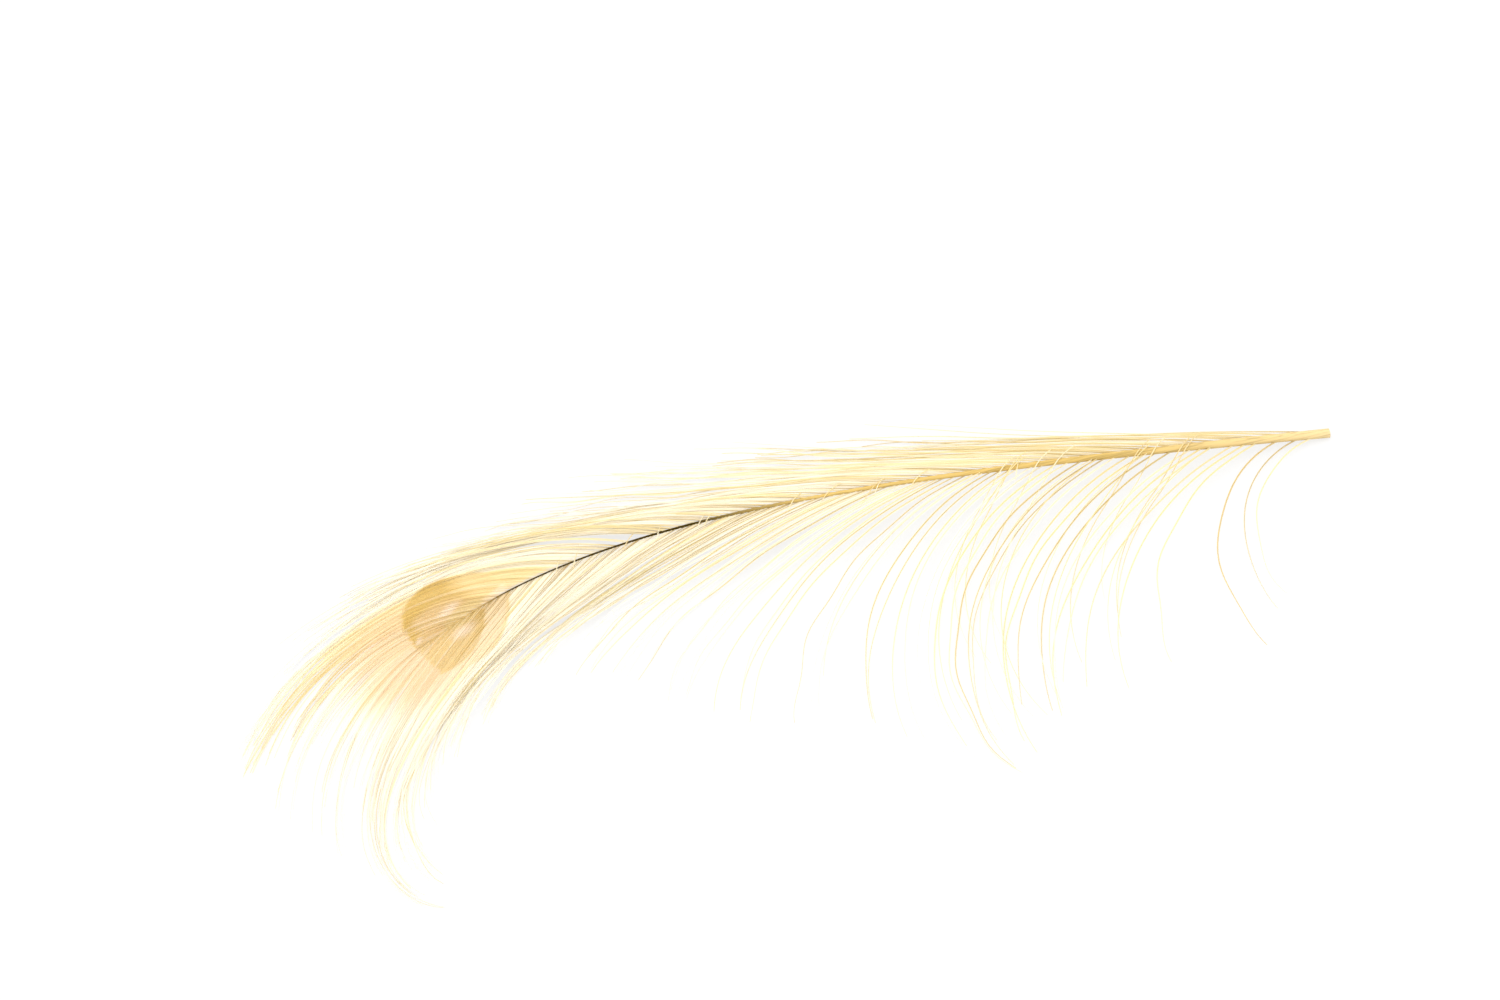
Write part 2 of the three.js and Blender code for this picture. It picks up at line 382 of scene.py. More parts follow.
class EyeSettings(bpy.types.PropertyGroup):
    """Colours of the eye's markings, and of the painted sheen highlight on it."""

    rim: colour_property("Rim", "Right lobe of the heart", (223, 193, 115))
    lobe: colour_property("Lobe", "Left lobe of the heart", (237, 214, 158))
    core: colour_property("Core", "Inside of the heart", (236, 211, 162))
    # Painted sheen: colour of the pale highlight patches painted beside the shaft.
    painted_sheen: colour_property("Sheen", "Pale patches beside the shaft", (253, 240, 220))
    wedge: colour_property("Wedge", "Olive spot round the shaft in the heart", (237, 219, 164))
    halo: colour_property("Halo", "Band outside the heart", (245, 222, 166))
    pale: colour_property("Pale", "Band outside the heart on its left", (250, 234, 202))
    peach: colour_property("Peach", "Disc beyond the heart", (243, 218, 178))
    glow: colour_property("Glow", "Light that comes through the eye", (234, 207, 144))


class StageSettings(bpy.types.PropertyGroup):
    """Camera, light and floor."""

    azimuth: bpy.props.FloatProperty(
        name="Azimuth", description="Turn of the camera round the feather", subtype="ANGLE",
        default=math.radians(-14.8),
    )
    elevation: bpy.props.FloatProperty(
        name="Elevation", description="Height of the camera above the floor, as an angle", subtype="ANGLE",
        default=math.radians(62),
    )
    distance: length_property("Distance", "From the camera to the point it looks at", 957)
    lens: bpy.props.FloatProperty(name="Lens", description="Focal length in millimetres", default=85, min=1)
    floor: colour_property("Floor", "Pale floor", (120, 120, 120))
    floor_light: bpy.props.FloatProperty(
        name="Floor light", description="Light that comes up through the floor", default=0.69, min=0
    )


class Signal:
    """An output socket of a finish, with the operators that shader maths needs."""

    def __init__(self, finish, socket):
        self.finish = finish
        self.socket = socket

    def math(self, operation, *values):
        sockets = dict(enumerate((self, *values)))
        return self.finish.node("ShaderNodeMath", {"operation": operation}, sockets)

    def __add__(self, other):
        return self.math("ADD", other)

    def __sub__(self, other):
        return self.math("SUBTRACT", other)

    def __rsub__(self, other):
        return self.finish.node("ShaderNodeMath", {"operation": "SUBTRACT"}, {0: other, 1: self})

    def __mul__(self, other):
        return self.math("MULTIPLY", other)

    def __truediv__(self, other):
        return self.math("DIVIDE", other)

    def __pow__(self, other):
        return self.math("POWER", other)

    __radd__ = __add__
    __rmul__ = __mul__

    def root(self):
        return self.math("SQRT")

    def size(self):
        return self.math("ABSOLUTE")

    def over(self, other):
        """The larger of the two."""
        return self.math("MAXIMUM", other)

    def rise(self, low, high):
        """0 up to low, 1 from high, and a smooth step between them."""
        settings = {"interpolation_type": "SMOOTHSTEP"}
        sockets = {"Value": self, "From Min": low, "From Max": high}
        return self.finish.node("ShaderNodeMapRange", settings, sockets)

    def fall(self, low, high):
        return 1 - self.rise(low, high)

    def parts(self):
        """The three numbers of a vector."""
        return [self.finish.node("ShaderNodeSeparateXYZ", {}, {0: self}, axis) for axis in range(3)]


class Finish:
    """A material whose nodes are written as Python expressions."""

    def __init__(self, name):
        self.material = bpy.data.materials.new(name)
        self.material.use_nodes = True
        self.tree = self.material.node_tree
        self.tree.nodes.clear()

    def node(self, kind, settings, sockets, output=0):
        """Adds a node of a kind: first its settings, then the values or links of its sockets."""
        made = self.tree.nodes.new(kind)
        for name, value in settings.items():
            if name == "stops":
                self.set_stops(made.color_ramp, value)
            else:
                setattr(made, name, value)
        for name, value in sockets.items():
            if isinstance(value, Signal):
                self.tree.links.new(value.socket, made.inputs[name])
            else:
                made.inputs[name].default_value = value
        return Signal(self, made.outputs[output])

    def set_stops(self, ramp, stops):
        while len(ramp.elements) < len(stops):
            ramp.elements.new(0.5)
        for element, (position, colour) in zip(ramp.elements, stops):
            element.position = position
            element.color = (*colour, 1)

    def mix(self, factor, first, second):
        """The first colour, turned into the second by a factor."""
        plain = [(*c, 1) if not isinstance(c, Signal) else c for c in (first, second)]
        sockets = {0: factor, 6: plain[0], 7: plain[1]}
        return self.node("ShaderNodeMix", {"data_type": "RGBA"}, sockets, 2)

    def brightest(self, signals):
        """The largest of several signals."""
        largest = signals[0]
        for signal in signals[1:]:
            largest = largest.over(signal)
        return largest

    def noise(self, vector, scale):
        return self.node("ShaderNodeTexNoise", {}, {"Vector": vector, "Scale": scale})

    def end(self, shader):
        output = self.tree.nodes.new("ShaderNodeOutputMaterial")
        self.tree.links.new(shader.socket, output.inputs["Surface"])
        return self.material


def lerp(low, high, share):
    return low + (high - low) * share


def smooth_step(value, low, high):
    share = np.clip((value - low) / (high - low), 0, 1)
    return share * share * (3 - 2 * share)


def unit(vectors):
    return vectors / np.linalg.norm(vectors, axis=-1, keepdims=True)


def shaft_table():
    """Places along the shaft, the points there, and the shaft's length."""
    t = np.linspace(0, 1, SHAFT_TABLE_POINTS)[:, None]
    a, b, c, d = SHAFT_POINTS
    points = (1 - t) ** 3 * a + 3 * (1 - t) ** 2 * t * b + 3 * (1 - t) * t**2 * c + t**3 * d
    travelled = np.concatenate([[0], np.cumsum(np.linalg.norm(np.diff(points, axis=0), axis=1))])
    return travelled / travelled[-1], points, travelled[-1]


SHAFT_PLACES, SHAFT_LINE, SHAFT_LENGTH = shaft_table()


def shaft_point(place):
    return np.stack([np.interp(place, SHAFT_PLACES, SHAFT_LINE[:, axis]) for axis in range(3)], -1)


def shaft_ahead(place, reach=0.002):
    """The shaft's direction over the surface, towards its tip."""
    ahead = shaft_point(np.clip(place + reach, 0, 1)) - shaft_point(np.clip(place - reach, 0, 1))
    ahead[..., 2] = 0
    return unit(ahead)


def to_left(ahead):
    """The direction to the left of another, over the surface."""
    return np.stack([-ahead[..., 1], ahead[..., 0], np.zeros(ahead.shape[:-1])], -1)


def shaft_width(place):
    return lerp(TIP_WIDTH, CUT_WIDTH, (1 - place) ** TAPER)


def scatter(lock, use):
    """A number from -1 to 1 that looks random, and is always the same for the same lock and use."""
    wave = np.sin(lock * SCATTER_LOCK + use * SCATTER_USE) * SCATTER_SCALE
    return 2 * (wave - np.floor(wave)) - 1


def barb_points(vane, place, along, turn, stretch, parting):
    """Points on barbs over the surface, and how far each barb is freed from its neighbours there."""
    length, root, point, late = vane.barb(place)
    ahead = shaft_ahead(place)
    out = to_left(ahead) * vane.side
    middle = shaft_point(place)
    reach = along * (1 + stretch * smooth_step(along, parting, 1))
    here = reach[..., None] * (np.arange(PATH_STEPS) + 0.5) / PATH_STEPS
    freed = smooth_step(here, parting[..., None], 1)
    angle = lerp(root[..., None], point[..., None], here ** late[..., None]) + turn[..., None] * freed
    forward = np.cos(np.radians(angle)).mean(-1) * reach * length
    outward = np.sin(np.radians(angle)).mean(-1) * reach * length + shaft_width(place) * ROOT_SPREAD
    points = middle + ahead * forward[..., None] + out * outward[..., None]
    points[..., 2] = (middle[..., 2] - VANE_THICKNESS / 2) * (1 - smooth_step(along, 0, LANDING))
    return points, smooth_step(along, parting, 1)


class Vane:
    """One side of the feather: 1 for its left and -1 for its right, seen from the cut end."""

    def __init__(self, name, side, barbs, partings, gold, seed, bundle=(0, 0)):
        self.name = name
        self.side = side
        self.bundle = bundle
        self.barbs = np.array(barbs, float)
        self.partings = np.array(partings, float)
        self.gold = gold
        self.seed = seed

    def barb(self, place):
        return [np.interp(place, self.barbs[:, 0], column) for column in self.barbs[:, 1:].T]

    def bundled(self, places):
        """Where the barbs keep close together to their ends."""
        return (places > self.bundle[0]) & (places < self.bundle[1])

    def tints(self, places, rng, spread=0.22):
        return np.clip(np.interp(places, *self.gold) + rng.normal(0, spread, len(places)), 0, 1)


VANES = (
    Vane("left", 1, LEFT_BARBS, LEFT_PARTINGS, LEFT_GOLD, LEFT_SEED),
    Vane("right", -1, RIGHT_BARBS, RIGHT_PARTINGS, RIGHT_GOLD, RIGHT_SEED, RIGHT_BUNDLE),
)


def grow(vane, places, rng, shorten, turn_spread, wave_mm, layer_mm, steps, fray=0):
    """The paths of barbs in millimetres: each clings to its lock, with a little turn and wave of its own."""
    count = len(places)
    bounds = vane.partings
    joined = np.round(
        lerp(LOOSE_SHEET_STEPS, EYE_SHEET_STEPS, smooth_step(bounds, EYE_FROM - SHEET_BLEND, EYE_FROM))
    )
    lock = np.clip(np.searchsorted(bounds, places, side="right") - 1, 0, len(bounds) - 2)
    share = (places - bounds[lock]) / (bounds[lock + 1] - bounds[lock])
    parting = (lerp(joined[lock], joined[lock + 1], share) / LOCK_STEPS)[:, None]
    middle = ((bounds[lock] + bounds[lock + 1]) / 2)[:, None]
    turn = scatter(lock, TURN_USE + vane.side) * TURN_SPREAD + rng.normal(0, turn_spread, count)
    longer = scatter(lock, STRETCH_USE + vane.side) * LENGTH_SPREAD + LONGEST_BARB
    stretch = longer - np.abs(rng.normal(0, SHORTER_BARB, count))
    raised = np.maximum(0, scatter(lock, LIFT_USE + vane.side))
    lift = np.where(bounds[lock + 1] < EYE_FROM, raised, 0) * HIGHEST_LIFT
    cling = np.where(rng.random(count) < FREE_SHARE, FREE_CLING, rng.uniform(*CLING, count))
    held = vane.bundled(places) & (cling > FREE_CLING)
    cling = np.where(held, lerp(BUNDLE_CLING, 1, cling), cling)[:, None]

    along = np.linspace(0, 1, steps + 1) * (1 - np.broadcast_to(shorten, count))[:, None]
    parted = np.clip((along - parting) / (1 - parting), 0, 1)
    place = lerp(places[:, None], middle, parted * cling)
    shape = place.shape
    spread = [np.broadcast_to(values, shape) for values in (turn[:, None], stretch[:, None], parting)]
    points, freed = barb_points(vane, place, along, *spread)

    sideways = unit(to_left(np.gradient(points, axis=1)))
    waves = vane.barb(places)[0][:, None] / rng.uniform(*WAVE_LENGTH, (count, 1)) * along
    swing = np.sin(2 * np.pi * (waves + rng.random((count, 1))))
    wave = swing * rng.uniform(*WAVE_SHARE, (count, 1)) * wave_mm
    points += sideways * (wave * along)[..., None]
    layer = rng.random((count, 1)) * layer_mm
    layered = layer * (smooth_step(along, 0, LAYERED_FROM) + fray * freed)
    points[..., 2] += VANE_THICKNESS / 2 + layered + lift[:, None] * freed**2
    return points


def new_object(name, mesh, material):
    piece = bpy.data.objects.new(name, mesh)
    bpy.context.scene.collection.objects.link(piece)
    mesh.materials.append(material)
    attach(piece, BODY)
    return piece


def barb_mesh(name, paths, stem, barbule, teeth, lean, tints, darkest=1):
    """Barbs as one mesh: each has a thin stem, and a row of flat pointed barbules along either side of it.

    The paths, the stem's thickness and the barbules' lengths along it are in metres."""
    count, steps = paths.shape[0], paths.shape[1] - 1
    tangent = unit(np.gradient(paths, axis=1))
    side = unit(to_left(tangent))
    up = np.cross(tangent, side)
    along = np.linspace(0, 1, steps + 1)

    turn = 2 * np.pi * (np.arange(STEM_SIDES) / STEM_SIDES + STEM_TOP)
    radius = (np.broadcast_to(stem, count)[:, None] / 2 * (1 - STEM_TAPER * along))[..., None, None]
    ring = side[:, :, None] * np.cos(turn)[:, None] + up[:, :, None] * np.sin(turn)[:, None]
    stem_points = paths[:, :, None] + ring * radius
    stem_numbers = np.arange(stem_points.size // 3).reshape(count, steps + 1, STEM_SIDES)

    base_along = np.linspace(*BARBULE_RUN, teeth + 1)
    spot = base_along * steps
    low = np.minimum(spot.astype(int), steps - 1)
    mix = (spot - low)[None, :, None]
    at_base = [lerp(v[:, low], v[:, low + 1], mix) for v in (paths, tangent, side, up)]
    base, base_tangent, base_side, base_up = at_base
    reach = lerp(barbule[:, low], barbule[:, low + 1], mix[..., 0])[:, :-1, None]
    forward = base_tangent[:, :-1] * math.cos(lean)
    tips = []
    for hand in (1, -1):
        across = base_side[:, :-1] * (hand * math.sin(lean)) - base_up[:, :-1] * BARBULE_DROOP
        tips.append(base[:, :-1] + (forward + across) * reach)
    tip_points = np.stack(tips, 2)
    base_numbers = stem_numbers.size + np.arange(count * (teeth + 1)).reshape(count, teeth + 1)
    tip_numbers = base_numbers[-1, -1] + 1 + np.arange(count * teeth * 2).reshape(count, teeth, 2)

    following = np.roll(stem_numbers, -1, axis=2)
    walls = np.stack([stem_numbers[:, :-1], following[:, :-1], following[:, 1:], stem_numbers[:, 1:]], -1)
    caps = np.concatenate([stem_numbers[:, 0, ::-1], stem_numbers[:, -1]])
    left = np.stack([base_numbers[:, :-1], base_numbers[:, 1:], tip_numbers[..., 0]], -1)
    right = np.stack([base_numbers[:, 1:], base_numbers[:, :-1], tip_numbers[..., 1]], -1)
    faces = walls.reshape(-1, 4).tolist() + caps.tolist()
    faces += left.reshape(-1, 3).tolist() + right.reshape(-1, 3).tolist()

    points = np.concatenate([stem_points.reshape(-1, 3), base.reshape(-1, 3), tip_points.reshape(-1, 3)])
    mesh = bpy.data.meshes.new(name)
    mesh.from_pydata(points, [], faces)
    in_barbule = np.arange(len(faces)) >= walls.size // 4 + len(caps)
    mesh.polygons.foreach_set("use_smooth", in_barbule)

    def everywhere(stem_value, base_value, tip_value):
        shapes = (stem_numbers.shape, base_numbers.shape, tip_numbers.shape)
        values = zip((stem_value, base_value, tip_value), shapes)
        return np.concatenate([np.broadcast_to(value, shape).ravel() for value, shape in values])

    travelled = everywhere(along[None, :, None], base_along[None], base_along[None, :-1, None])
    across = everywhere(0.0, 0.0, np.array([1.0, -1.0]))
    tint = everywhere(tints[:, None, None], tints[:, None], tints[:, None, None])
    marks = mesh.attributes.new("barb", "FLOAT_VECTOR", "POINT")
    marks.data.foreach_set("vector", np.stack([travelled, across, tint], 1).astype(np.float32).ravel())

    row = np.arange(count)
    jitter = np.random.default_rng(count).uniform(-1, darkest, count)
    jitters = mesh.attributes.new("jitter", "FLOAT", "POINT")
    shares = everywhere(jitter[:, None, None], jitter[:, None], jitter[:, None, None])
    jitters.data.foreach_set("value", shares.astype(np.float32))
    lane = everywhere(
        (row[:, None, None] + STEM_LANE + STEM_LANE_STEP * np.arange(STEM_SIDES)) / count,
        (row[:, None] + 0.5) / count,
        (row[:, None, None] + np.array(TIP_LANES)) / count,
    )
    corners = np.empty(len(mesh.loops), np.int64)
    mesh.loops.foreach_get("vertex_index", corners)
    bake_map = mesh.uv_layers.new(name="OFBake")
    bake_map.data.foreach_set("uv", np.stack([travelled, lane], 1)[corners].astype(np.float32).ravel())
    return mesh


def to_frame(points_mm):
    return (points_mm + FEATHER_SHIFT) * MM


def barb_finish(barbs, eye):
    """Bleached barbs: cream, with the eye's markings where they cross it, and a painted sheen of pale
    highlight patches.
    """
    finish = Finish("bleached_barb")
    spot = finish.node("ShaderNodeTexCoord", {}, {}, "Object")
    centre = to_frame(np.array([*EYE_CENTRE, 0]))
    turned = {"Vector": spot, "Location": (centre[0], centre[1], 0),
              "Rotation": (0, 0, math.radians(EYE_HEADING)), "Scale": (MM, MM, MM)}
    in_eye = finish.node("ShaderNodeMapping", {"vector_type": "TEXTURE"}, turned)
    forward, across, _ = in_eye.parts()
    barb = finish.node("ShaderNodeAttribute", {"attribute_name": "barb"}, {}, "Vector")
    along, outward, tint = barb.parts()
    jitter = finish.node("ShaderNodeAttribute", {"attribute_name": "jitter"}, {}, "Fac")

    ragged = forward + jitter * RAGGED
    off = (across - EYE_LINE).size()
    left_side = across.rise(EYE_LINE - EDGE_FADE, EYE_LINE + EDGE_FADE)
    right_side = 1 - left_side

    def oval(middle, size):
        return (((ragged - middle[0]) / size[0]) ** 2 + ((across - middle[1]) / size[1]) ** 2).root()

    skewed = off - (ragged - HALO_SKEW_FROM) * HALO_SKEW
    halo = (((ragged - HALO_MIDDLE) / HALO_SIZE[0]) ** 2 + (skewed / HALO_SIZE[1]) ** 2).root()
    ended = ragged.fall(HEART_END - EDGE_FADE, HEART_END + EDGE_FADE)
    in_halo = halo.fall(*SHARP_FADE) * ended
    halo_line = ((halo - 1) / HALO_LINE).size().fall(0, 1) * left_side * ragged.fall(*HALO_LINE_RUN)
    deep = in_halo * right_side * ragged.rise(*DEEP_RUN)
    lobe = oval((LOBE_MIDDLE, 0), LOBE_SIZE)
    in_lobe = lobe.fall(*SHARP_FADE) * left_side * ended
    lobe_edge = in_lobe * lobe.rise(*LOBE_EDGE) * ragged.fall(*LOBE_EDGE_RUN)
    in_core = oval((CORE_MIDDLE, 0), CORE_SIZE).fall(*CORE_FADE) * right_side * ragged.fall(*CORE_RUN)
    in_disc = oval((DISC_MIDDLE, 0), DISC_SIZE).fall(*DISC_FADE)
    in_wedge = oval(WEDGE_MIDDLE, WEDGE_SIZE).fall(*WEDGE_FADE)
    # Painted sheen: where the painted highlight patches lie.
    painted_sheen_mask = finish.brightest([oval(middle, size).fall(*PAINTED_SHEEN_FADE) for middle, size in PAINTED_SHEENS])
    smooth = in_disc * left_side

    colour = finish.mix(tint.rise(0, GOLD_TINT), tuple(barbs.cream), tuple(barbs.gold))
    colour = finish.mix(tint.rise(GOLD_TINT, 1), colour, tuple(barbs.straw))
    thinned = along.rise(*TIP_RUN) * TIP_COVER * (1 - tint * TIP_ON_GOLD)
    colour = finish.mix(thinned, colour, tuple(barbs.tip))
    colour = finish.mix(in_disc * DISC_COVER, colour, tuple(eye.peach))
    beside = finish.mix(left_side, tuple(eye.halo), tuple(eye.pale))
    colour = finish.mix(in_halo, colour, beside)
    colour = finish.mix(halo_line * HALO_LINE_COVER, colour, tuple(eye.halo))
    colour = finish.mix(deep, colour, tuple(eye.rim))
    colour = finish.mix(in_core * CORE_COVER, colour, tuple(eye.core))
    colour = finish.mix(in_lobe, colour, tuple(eye.lobe))
    colour = finish.mix(lobe_edge * LOBE_EDGE_COVER, colour, tuple(eye.rim))
    # Painted highlight: the pale sheen patches laid over the eye's colour.
    colour = finish.mix(painted_sheen_mask * PAINTED_SHEEN_COVER, colour, tuple(eye.painted_sheen))
    colour = finish.mix(in_wedge * WEDGE_COVER, colour, tuple(eye.wedge))
    darker = jitter.rise(*DARK_JITTER) * (1 - smooth * DARK_WHERE_SMOOTH) * DARK_COVER
    colour = finish.mix(darker, colour, tuple(barbs.stem_colour))
    colour = finish.mix(jitter.fall(*PALE_JITTER) * PALE_COVER, colour, tuple(barbs.cream))
    shown = STEM_COVER + jitter.rise(*STEM_JITTER) * DARK_STEM_COVER
    stem = outward.size().fall(*STEM_WIDTH) * shown * (1 - along * STEM_ALONG)
    stem = stem * (1 - tint * STEM_ON_GOLD) * (1 - in_disc * STEM_IN_DISC) * (1 - smooth * STEM_WHERE_SMOOTH)
    colour = finish.mix(stem, colour, tuple(barbs.stem_colour))
    surface = {"Base Color": colour, "Roughness": BARB_ROUGHNESS, "Specular IOR Level": BARB_SPECULAR}
    shader = finish.node("ShaderNodeBsdfPrincipled", {}, surface)
    pale_glow = finish.node("ShaderNodeBsdfTranslucent", {}, {"Color": (*barbs.glow, 1)})
    tan_glow = finish.node("ShaderNodeBsdfTranslucent", {}, {"Color": (*eye.glow, 1)})
    tanned = finish.brightest([deep, in_lobe, in_halo * HALF_TANNED, in_disc * HALF_TANNED])
    glow = finish.node("ShaderNodeMixShader", {}, {0: tanned, 1: pale_glow, 2: tan_glow})
    return finish.end(finish.node("ShaderNodeMixShader", {}, {0: LIGHT_THROUGH, 1: shader, 2: glow}))


def barb_material(scene):
    known = bpy.data.materials.get("bleached_barb")
    return known or barb_finish(scene.feather_barbs, scene.feather_eye)


class FEATHER_OT_stage(bpy.types.Operator):
    """Sets the floor, the soft light and the camera"""

    bl_idname = "feather.stage"
    bl_label = "Stage"

    def execute(self, context):
        stage = context.scene.feather_stage
        bpy.ops.object.select_all(action="DESELECT")
        bpy.ops.mesh.primitive_plane_add(size=FLOOR_SIZE)
        floor = context.object
        floor.name = "floor"
        paint = Finish("pale_floor")
        spot = paint.node("ShaderNodeTexCoord", {}, {}, "Object")
        grain = paint.noise(spot, FLOOR_GRAIN)
        light, shade = tuple(stage.floor), tuple(FLOOR_SHADE * c for c in stage.floor)
        surface = {
            "Base Color": paint.mix(grain, light, shade), "Roughness": FLOOR_ROUGHNESS,
            "Emission Color": WHITE, "Emission Strength": stage.floor_light,
        }
        shader = paint.node("ShaderNodeBsdfPrincipled", {}, surface)
        floor.data.materials.append(paint.end(shader))

        scene = context.scene
        scene.view_settings.view_transform = "Standard"
        world = bpy.data.worlds.new("studio")
        world.use_nodes = True
        sky = world.node_tree.nodes["Background"].inputs
        sky["Color"].default_value = WHITE
        sky["Strength"].default_value = WORLD_LIGHT
        scene.world = world

        look_at = Vector(to_frame(np.array(LOOK_AT)))
        lamp = bpy.data.lights.new("softbox", "AREA")
        lamp.energy = LAMP_POWER
        lamp.size = LAMP_SIZE
        softbox = bpy.data.objects.new("softbox", lamp)
        softbox.location = look_at + Vector(LAMP_OFFSET)
        softbox.rotation_euler = (look_at - softbox.location).to_track_quat("-Z", "Y").to_euler()
        scene.collection.objects.link(softbox)

        view = bpy.data.cameras.new("camera")
        view.lens = stage.lens
        view.sensor_width = SENSOR_WIDTH
        camera = bpy.data.objects.new("camera", view)
        low, turn = math.cos(stage.elevation), stage.azimuth
        back = Vector((math.sin(turn) * low, -math.cos(turn) * low, math.sin(stage.elevation)))
        camera.location = look_at + back * stage.distance
        camera.rotation_euler = (-back).to_track_quat("-Z", "Y").to_euler()
        scene.collection.objects.link(camera)
        scene.camera = camera
        return {"FINISHED"}


class FEATHER_OT_quill(bpy.types.Operator):
    """Models the shaft from its cut end to its tip"""

    bl_idname = "feather.quill"
    bl_label = "Quill"

    def execute(self, context):
        quill = context.scene.feather_quill
        places = np.linspace(0, 1, QUILL_STEPS + 1)
        line = to_frame(shaft_point(places))
        widths = lerp(quill.tip_width, quill.cut_width, (1 - places) ** TAPER)
        ahead = shaft_ahead(places)
        heading = np.arctan2(-ahead[:, 1], -ahead[:, 0])
        bpy.ops.object.select_all(action="DESELECT")
        bpy.ops.mesh.primitive_circle_add(
            vertices=QUILL_SIDES, radius=quill.cut_width / 2, fill_type="NGON",
            rotation=(0, math.pi / 2, heading[0]),
        )
        piece = context.object
        piece.name = "quill"
        bpy.ops.object.transform_apply(location=True, rotation=True, scale=False)
        lowest = min(piece.data.vertices, key=lambda vertex: vertex.co.z)
        lowest.co.z *= GROOVE
        bpy.ops.object.mode_set(mode="EDIT")
        bpy.ops.mesh.select_all(action="SELECT")
        bpy.ops.transform.translate(value=tuple(line[0]))
        for i in range(QUILL_STEPS):
            move = {"value": tuple(line[i + 1] - line[i])}
            bpy.ops.mesh.extrude_region_move(TRANSFORM_OT_translate=move)
            here = tuple(line[i + 1])
            taper = widths[i + 1] / widths[i]
            bpy.ops.transform.resize(value=(taper, taper, taper), center_override=here)
            turn = heading[i] - heading[i + 1]
            bpy.ops.transform.rotate(value=turn, orient_axis="Z", center_override=here)
        bpy.ops.mesh.select_all(action="SELECT")
        bpy.ops.mesh.normals_make_consistent(inside=False)
        bpy.ops.mesh.select_all(action="DESELECT")
        bpy.ops.object.mode_set(mode="OBJECT")
        piece.data.materials.append(self.horn(quill))
        piece.data.materials.append(self.pith(quill))
        cut = max(piece.data.polygons, key=lambda face: face.center.x)
        cut.select = True
        bpy.ops.object.mode_set(mode="EDIT")
        bpy.ops.mesh.select_mode(type="FACE")
        bpy.ops.mesh.inset(thickness=quill.wall)
        piece.active_material_index = 1
        bpy.ops.object.material_slot_assign()
        sink = {"value": tuple(Vector(ahead[0]) * quill.wall)}
        bpy.ops.mesh.extrude_region_move(TRANSFORM_OT_translate=sink)
        bpy.ops.object.mode_set(mode="OBJECT")
        bpy.ops.object.shade_smooth_by_angle(angle=SMOOTH_ANGLE)
        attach(piece, BODY)
        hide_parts("shaft")
        return {"FINISHED"}

    def horn(self, quill):
        finish = Finish("horn_quill")
        spot = finish.node("ShaderNodeTexCoord", {}, {}, "Object")
        lengthwise = spot.parts()[0]
        tip_x = to_frame(np.zeros(3))[0]
        place = 1 - (lengthwise - float(tip_x)) / (SHAFT_POINTS[0, 0] * MM)
        colours = (quill.honey, quill.golden, quill.golden, quill.dark, quill.dark, quill.tan)
        stops = list(zip(HORN_PLACES, map(tuple, colours)))
        colour = finish.node("ShaderNodeValToRGB", {"stops": stops}, {"Fac": place})
        drawn = finish.node("ShaderNodeMapping", {}, {"Vector": spot, "Scale": HORN_STRETCH})
        grain = finish.noise(drawn, HORN_GRAIN)
        colour = finish.mix(grain.rise(*HORN_GRAIN_RUN) * HORN_GRAIN_COVER, colour, tuple(quill.dark))
        surface = {"Base Color": colour, "Roughness": HORN_ROUGHNESS, "Specular IOR Level": HORN_SPECULAR}
        return finish.end(finish.node("ShaderNodeBsdfPrincipled", {}, surface))

    def pith(self, quill):
        finish = Finish("pith")
        spot = finish.node("ShaderNodeTexCoord", {}, {}, "Object")
        foam = finish.noise(spot, PITH_GRAIN)
        colour = finish.mix(foam, tuple(quill.pith), tuple(quill.honey))
        surface = {"Base Color": colour, "Roughness": PITH_ROUGHNESS}
        return finish.end(finish.node("ShaderNodeBsdfPrincipled", {}, surface))


class FEATHER_OT_loose_barbs(bpy.types.Operator):
    """Grows the loose barbs on both sides of the shaft, below the eye"""

    bl_idname = "feather.loose_barbs"
    bl_label = "Loose Barbs"

    def execute(self, context):
        barbs = context.scene.feather_barbs
        for vane in VANES:
            rng = np.random.default_rng(vane.seed)
            places = [vane.partings[0]]
            while places[-1] < EYE_FROM:
                spacing = np.interp(places[-1], LOOSE_PLACES, LOOSE_SPACING) * rng.uniform(*LOOSE_JITTER)
                places.append(places[-1] + spacing / SHAFT_LENGTH)
            places = np.array(places[:-1])
            if vane.side < 0:
                places = places[(places < GAP[0]) | (places > GAP[1])]
            paths = grow(vane, places, rng, 0, **LOOSE_GROWTH)
            along = np.linspace(0, 1, paths.shape[1])
            barbule = barbs.loose_barbule * np.interp(along, LOOSE_ALONG, LOOSE_PROFILE)
            barbule = barbule * np.interp(places, LOOSE_PLACES, LOOSE_BARBULES)[:, None]
            stems = barbs.stem * np.interp(places, LOOSE_PLACES, LOOSE_STEMS)
            tints = vane.tints(places, rng)
            name = vane.name + "_barbs"
            mesh = barb_mesh(name, to_frame(paths), stems, barbule, LOOSE_TEETH, LOOSE_LEAN, tints)
            piece = new_object(name, mesh, barb_material(context.scene))
            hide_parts(vane.name + "_vane")
        return {"FINISHED"}


